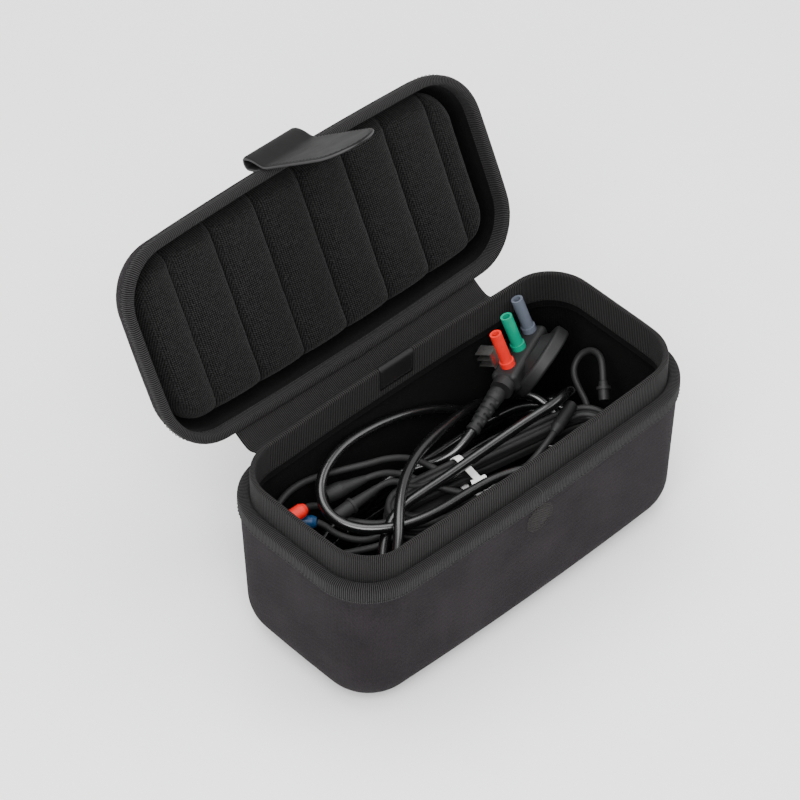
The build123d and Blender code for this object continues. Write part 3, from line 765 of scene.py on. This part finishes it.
# ---------------------------------------------------------------- tapes, collar and hinge web
place(ring("rim_binding",
           [(8.3, -5), (8.2, -1.8), (7.3, -0.3), (5.0, 0.2), (3.0, 0.25), (1.2, -0.05), (0.1, -1.0),
            (-0.2, -2.8), (-0.1, -7.0), (0.2, -11.6), (0.9, -12.9), (1.9, -12.9)],
           low=RIM_Z, waver=0.15, seed=3.0),
      TAPE, "base", ["base_binding"])
place(ring("lid_rim_binding",
           [(6.6, 9.5), (6.3, 3.0), (5.9, 1.2), (4.6, 0.1), (2.8, -0.1), (1.2, 0.1), (-0.1, 1.4),
            (-0.5, 3.2), (0.1, 7.6), (0.9, 9.2), (2.1, 9.4)],
           matrix=LID, waver=0.25, seed=8.0),
      TAPE, "lid", ["lid_binding"])
place(ring("lid_binding_overlap",
           [(5.7, 8.4), (5.5, 3.0), (5.1, 0.5), (3.8, -0.1), (2.6, -0.2), (0.7, 0.0), (-0.8, 1.2),
            (-1.2, 3.2), (-0.6, 7.8), (0.6, 8.9)],
           matrix=LID, within=lambda p: abs(p.x) < 7 and p.y > 0),
      TAPE, "lid", ["binding_join"])

# the collar is bound in ribbed tape down to BAND_LOW on its inner side, and knit below that
BAND_LOW = -4.0
place(ring("collar_band",
           [(8.35, -9.0), (8.3, 0.0), (8.3, 17.6), (8.7, 19.1), (10.2, 19.7), (11.8, 19.2),
            (12.3, 17.6), (12.35, 6.0), (12.5, BAND_LOW + 0.9), (12.3, BAND_LOW),
            (11.8, BAND_LOW - 0.1)],
           low=RIM_Z, waver=0.5, seed=5.0),
      COLLAR, "base", ["collar_cover"])
place(ring("collar_foot",
           [(11.9, BAND_LOW + 1.2), (12.0, -6.5), (11.9, -9.4), (11.2, -10.4), (9.4, -11.2),
            (8.2, -12.6)],
           low=RIM_Z, waver=0.5, seed=5.0),
      LINING, "base")


THREAD_R = 0.24      # thread of the seams on tapes and patches
OUTWARD, INWARD = 1, -1


def row_on_rim(height, inset, facing):
    """Stitches once round the rim at one height and inset, on its OUTWARD or INWARD face."""
    points, normals = [], []
    for p, n, _ in RIM + [RIM[0]]:
        q = p - n * inset
        points.append((q.x, q.y, height))
        normals.append((n.x * facing, n.y * facing, 0))
    return dashes(points, normals, 2.2, 0.9)


for name, rows, matrix, body in (
        ("rim_stitching", row_on_rim(RIM_Z - 10.4, 0.12, OUTWARD), None, "base"),
        ("collar_stitching", row_on_rim(RIM_Z + BAND_LOW + 2.2, 12.5, INWARD), None, "base"),
        ("lid_rim_stitching", row_on_rim(7.4, 0.05, OUTWARD), LID, "lid"),
        ("lid_inner_stitching", row_on_rim(7.2, 6.5, INWARD), LID, "lid")):
    place(stitches(name, rows, THREAD_R, matrix), THREAD, body)

WEB_HALF, WEB_THICK = 105.0, 1.2
WEB_PATH = [(71.2, 115.3), (76.5, 113.4), (81.8, 111.1), (84.3, 110.2), (86.9, 110.3),
            (92.6, 112.9), (99.0, 117.2)]
web, _ = ribbon("hinge_web", WEB_PATH, WEB_HALF, WEB_THICK)
web.data.materials.append(WEB)
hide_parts("hinge_web_base", "hinge_web_lid")
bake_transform(web)


# ---------------------------------------------------------------- quilted pad in the lid
PAD_GROOVES = [-104.5, -66.4, -29.6, 7.6, 44.5, 81.0, 117.5]
PAD_INSET = 13.4
PAD_BACK = 25.2          # height of its back, against the lining
PAD_FACE = 13.4          # height of the sewn grooves
PAD_CROWN = 5.4          # how much the channels stand over the grooves
PAD_ROLL = 9.0           # width of its rolled edge
PAD_REACH = 137.0        # where its two end channels end
PAD_LIMIT = CORNER.x + CORNER_R - PAD_INSET - 0.35


def pad_half_width(x, inset):
    """Half width in y of the pad's outline at x."""
    x = abs(x)
    if x < CORNER.x:
        return -(SIDE_CENTRE.y - math.sqrt((SIDE_R - inset)**2 - x * x))
    reach = (CORNER_R - inset)**2 - (x - CORNER.x)**2
    return -CORNER.y + math.sqrt(max(0.0, reach))


def pad_height(x, y, edge):
    """Height of the pad's face: crowned channels, puckered seams and a rolled edge."""
    seams = [-PAD_REACH] + PAD_GROOVES + [PAD_REACH]
    k = max(i for i in range(len(seams) - 1) if seams[i] <= x or i == 0)
    left, right = seams[k], seams[k + 1]
    t = min(1.0, max(0.0, (x - left) / (right - left)))
    crown = (1 - abs(2 * t - 1)**2.6)**0.62
    near = min(x - left, right - x)
    sewn = 1.9 * math.exp(-(max(0.0, near) / 1.3)**2) * (1 if 0 < k < len(seams) - 1 else 0)
    pucker = 0.55 * noise.noise(Vector((k * 7.0, y * 0.085, 2.0))) * math.exp(-max(0.0, near) / 5)
    sag = 0.7 * noise.noise(Vector((x * 0.03, y * 0.022, 5.0)))
    roll = 1 - (1 - min(1.0, edge / PAD_ROLL))**2.2
    raised = PAD_CROWN * crown * (0.25 + 0.75 * roll) * (1 + pucker * 0.35)
    return PAD_FACE - raised - pucker - sag * 0.6 + (1 - roll) * 7.5 + sewn * roll


def quilted_pad():
    """The pad: a face gridded closer at its seams, a side and a flat back."""
    columns = {-PAD_LIMIT, PAD_LIMIT}
    for a, b in zip([-PAD_LIMIT] + PAD_GROOVES, PAD_GROOVES + [PAD_LIMIT]):
        for t in np.linspace(0, 1, 15):
            columns.add(round(float(a + (b - a) * 0.5 * (1 - math.cos(math.pi * t))), 3))
    columns = sorted(columns)
    across = [0.5 - 0.5 * math.cos(math.pi * t) for t in np.linspace(0, 1, 61)]
    verts, faces, uvs = [], [], []
    for x in columns:
        half = pad_half_width(x, PAD_INSET)
        for t in across:
            y = -half + 2 * half * t
            to_side = half - abs(y)
            to_end = PAD_LIMIT - abs(x)
            corner = CORNER_R - PAD_INSET - math.hypot(max(0, abs(x) - CORNER.x),
                                                       max(0, abs(y) + CORNER.y))
            in_corner = abs(x) > CORNER.x and abs(y) > -CORNER.y
            edge = corner if in_corner else min(to_side, to_end)
            verts.append((x, y, pad_height(x, y, max(0.0, edge))))
            uvs.append((x, y))
    rows, cols = len(columns), len(across)
    for i in range(rows - 1):
        for j in range(cols - 1):
            a = i * cols + j
            faces.append((a, a + 1, a + cols + 1, a + cols))
    border = ([i * cols for i in range(rows)] + [(rows - 1) * cols + j for j in range(1, cols)]
              + [i * cols + cols - 1 for i in range(rows - 2, -1, -1)]
              + list(range(cols - 2, 0, -1)))
    last = border
    for depth in (0.5, 1.0):
        first = len(verts)
        for b in border:
            x, y, h = verts[b]
            verts.append((x * (1 + 0.004 * (1 - depth)), y * (1 + 0.008 * (1 - depth)),
                          h + (PAD_BACK - h) * depth))
            uvs.append((x, y + h))
        now = list(range(first, first + len(border)))
        for k in range(len(border)):
            m = (k + 1) % len(border)
            faces.append((last[k], last[m], now[m], now[k]))
        last = now
    faces.append(tuple(last))
    return mesh_object("quilted_lid_pad", verts, faces, uvs, matrix=LID)


pad = place(quilted_pad(), PAD, "lid", ["lid_pad"])
SEAM_STOP = 7            # how far a seam's thread stops short of the pad's edge
seam_rows = []
for groove in PAD_GROOVES:
    half = pad_half_width(groove, PAD_INSET) - SEAM_STOP
    ys = np.linspace(-half, half, 50)
    sewn_line = [(groove, float(y), pad_height(groove, y, half - abs(y) + SEAM_STOP) - 0.15)
                 for y in ys]
    seam_rows += dashes(sewn_line, [(0, 0, -1)] * len(ys), 3.0, 1.3)
seams = place(stitches("pad_seams", seam_rows, 0.26, LID), THREAD, "lid")
for soft in (pad, seams):
    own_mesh(soft)


# ---------------------------------------------------------------- strap and patches
STRAP_HALF = 22.0
STRAP_THICK = 2.6
TONGUE = 84.0
TILT = math.radians(12)
FOLD_Y = -74.9           # where the tongue leaves the lid's edge
tongue_end = (FOLD_Y - math.sin(TILT) * TONGUE, -math.cos(TILT) * TONGUE)
strap_path = [(-72.9, 5.4), (-71.9, 9.0), (-71.8, 17.5), (-72.3, 20.6), (-75.7, 21.4),
              (-79.2, 20.6), (-79.7, 17.0), (-78.9, 11.0), (-76.6, 5.5), (-75.2, 1.5),
              (-75.5, -3.0), (-77.6, -12.6), (-83.7, -41.6), tongue_end]
strap_path = rounded(strap_path)
plate_low, plate_high = (Vector(corner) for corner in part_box("strap_plate"))
disc = (LID.inverted() @ ((plate_low + plate_high) / 2)) / MM
loop_length = 0.0
for a, b in zip(strap_path, strap_path[1:]):
    if a[1] < 0 and b[1] < 0:
        break
    loop_length += math.dist(a, b)
disc_along = loop_length + math.hypot(disc.y - FOLD_Y, disc.z)
strap, strap_rows = ribbon("strap", strap_path, STRAP_HALF, STRAP_THICK, matrix=LID, rounds=0,
                           tip=STRAP_HALF, dome=(disc_along, 9.6, 0.55))
strap.data.materials.append(LEATHER)
strap.data.materials.append(EDGE)
for poly in strap.data.polygons:
    around = {v % RIBBON_SECTION for v in poly.vertices}
    if around & {0, RIBBON_SECTION // 2} and len(poly.vertices) == 4:
        poly.material_index = 1          # the cut edge
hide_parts("strap_loop", "strap_outer", "strap_inner")

STRAP_SEAM_INSET = 2.4
THREAD_SUNK = 0.2        # the strap's thread lies this deep, clear of the rim's when it is shut


def edge_row(face):
    """Stitches beside the strap's edge, on one face (1 or -1), from its loop round to its tip."""
    left, right = [], []
    for w, y, z, n, wide in strap_rows:
        if w < loop_length + 3 or wide < STRAP_SEAM_INSET + 1.0:
            continue
        up = (0, n.x * face, n.y * face)
        lift = (STRAP_THICK / 2 - THREAD_SUNK) * face
        for line, sign in ((left, -1), (right, 1)):
            line.append(((sign * (wide - STRAP_SEAM_INSET), y + n.x * lift, z + n.y * lift), up))
    line = left + right[::-1]
    return dashes([p for p, _ in line], [u for _, u in line], 2.8, 1.2)


strap_seam = stitches("strap_stitching", edge_row(1) + edge_row(-1), 0.26, LID)
strap_seam.data.materials.append(THREAD)
for soft in (strap, strap_seam):
    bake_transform(soft)

# the tab folds over the collar's top from its inner face, in the box of the CAD patch
low, high = (Vector(corner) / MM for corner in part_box("hinge_patch"))
tab, _ = ribbon(
    "hinge_tab", [(high.y - 0.3, high.z - 0.3), (low.y + 2.0, high.z - 0.3),
                  (low.y + 0.35, high.z - 0.9), (low.y + 0.2, high.z - 3.0),
                  (low.y + 0.2, low.z)], high.x, 1.0)
place(tab, PATCH, "base", ["hinge_patch"])
tab_y = low.y + 0.2 - 0.5
TAB_SEAM_X = 12.4
tab_rows = []
corners = [(-TAB_SEAM_X, high.z - 3.2), (-TAB_SEAM_X, low.z + 2),
           (TAB_SEAM_X, low.z + 2), (TAB_SEAM_X, high.z - 3.2)]
for a, b in zip(corners, corners[1:]):
    line = [(a[0] + (b[0] - a[0]) * t, tab_y, a[1] + (b[1] - a[1]) * t)
            for t in np.linspace(0, 1, 8)]
    tab_rows += dashes(line, [(0, -1, 0)] * len(line), 2.2, 1.0)
place(stitches("hinge_tab_stitching", tab_rows, THREAD_R), THREAD, "base")

WALL = 0.038             # how much the base's wall steps in per mm below the rim
MAGNET_DROP = 24.4       # depth of the closure patch's middle below the rim, over the magnet
MAGNET_PATCH_R = 11.3
face_n = Vector((0, -1, -WALL)).normalized()
face_up = Vector((0, -WALL, 1)).normalized()
face_at = Vector((0, SIDE_CENTRE.y - SIDE_R + 1 + WALL * MAGNET_DROP, RIM_Z - MAGNET_DROP))


def magnet_patch():
    """Round leatherette patch with a soft edge, and its ring of stitches."""
    profile = rounded([(0.02, 0.62), (4.0, 0.66), (8.4, 0.6), (9.0, 0.45), (9.6, 0.6), (10.6, 0.62),
                       (MAGNET_PATCH_R, 0.35), (MAGNET_PATCH_R + 0.15, -0.6)], 2)
    around = 72
    verts, uvs, faces = [], [], []
    for k in range(around):
        a = 2 * math.pi * k / around
        for r, h in profile:
            x = r * math.cos(a)
            bow = x * x / (2 * SIDE_R)
            p = (face_at + Vector((x, 0, 0)) + face_up * (r * math.sin(a)) + face_n * (h - bow))
            verts.append(tuple(p))
            uvs.append((x, r * math.sin(a)))
    count = len(profile)
    for k in range(around):
        for j in range(count - 1):
            a, b = k * count + j, (k + 1) % around * count + j
            faces.append((a, b, b + 1, a + 1))
    faces.append(tuple(k * count for k in range(around)))
    piece = mesh_object("closure_patch", verts, faces, uvs)
    seam_r = 9.0
    line = [face_at + Vector((seam_r * math.cos(a), 0, 0)) + face_up * seam_r * math.sin(a)
            + face_n * 0.5 for a in np.linspace(0, 2 * math.pi, 49)]
    rows = dashes([tuple(p) for p in line], [tuple(face_n)] * len(line), 2.0, 0.9)
    return piece, stitches("closure_patch_stitching", rows, THREAD_R)


closure, closure_thread = magnet_patch()
place(closure, CLOSURE, "base", ["magnet_patch"])
place(closure_thread, THREAD, "base")


# ---------------------------------------------------------------- CAD nodes that stay
FINISH = {
    "base_shell": FABRIC, "base_lining": LINING, "lid_shell": FABRIC, "lid_lining": LINING,
    "collar_board": BOARD, "front_magnet": METAL, "strap_plate": METAL,
    "adapter_block": BODY, "socket_flange": BODY, "spring_clip": METAL, "sleeve_contacts": METAL,
    "socket_contacts": METAL, "sleeve_red": RED, "sleeve_green": GREEN, "sleeve_grey": GREY,
    "cord_end_housing": PLUG, "red_plug": RED, "blue_plug": BLUE,
    "black_plug_rear": PLUG, "black_plug_front": PLUG, "black_plug_right": PLUG, "test_probe": PLUG,
    "hank_tie": WHITE,
}
for node, obj in NODES.items():
    if obj.hide_render:
        continue
    obj.data.materials.clear()
    obj.data.materials.append(FINISH[node])
